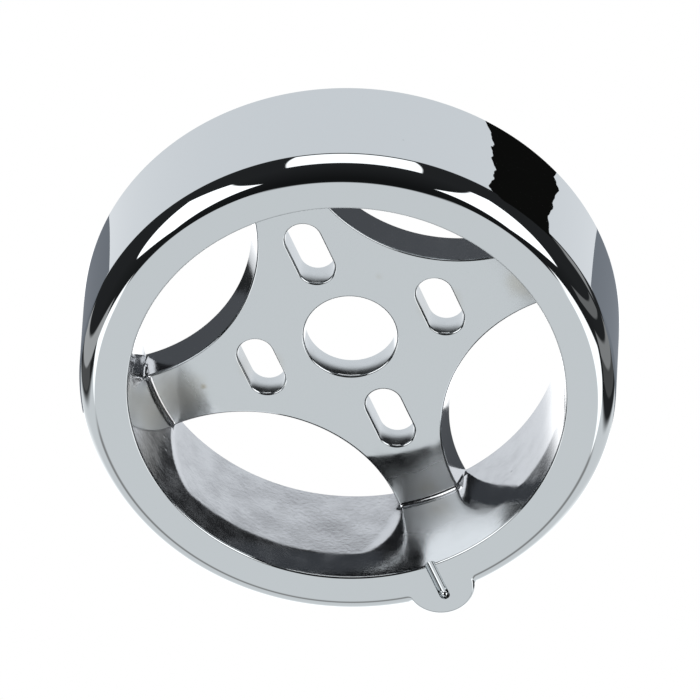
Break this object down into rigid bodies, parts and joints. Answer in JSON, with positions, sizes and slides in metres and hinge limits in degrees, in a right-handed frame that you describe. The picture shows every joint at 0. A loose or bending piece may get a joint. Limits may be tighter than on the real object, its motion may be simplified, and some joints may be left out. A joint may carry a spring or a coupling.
{
  "type": "pulley cover drum",
  "caption": "Chrome-plated cast drum with a flat spider at the back, a centre bore, bolt slots, lens-shaped windows and an index tab on its front ring.",
  "frame": {"origin": "centre of the bore at the back mounting face", "axes": "+Z along the bore axis towards the machined front ring, +Y towards the index tab, +X to the right seen from the front with the tab up"},
  "size_m": [0.165, 0.1676, 0.0436],
  "materials": {
    "polished_chrome": "bright chrome plating over polished and machined metal",
    "plated_spider": "bright plating, thinner and slightly warmer in the recesses"
  },
  "bodies": {
    "root": {"barrel": "polished_chrome", "face_ring": "polished_chrome", "index_tab": "polished_chrome", "hub_plate": "plated_spider", "arm_tab_side": "plated_spider", "arm_far_side": "plated_spider", "arm_left": "plated_spider", "arm_right": "plated_spider"}
  },
  "joints": []
}
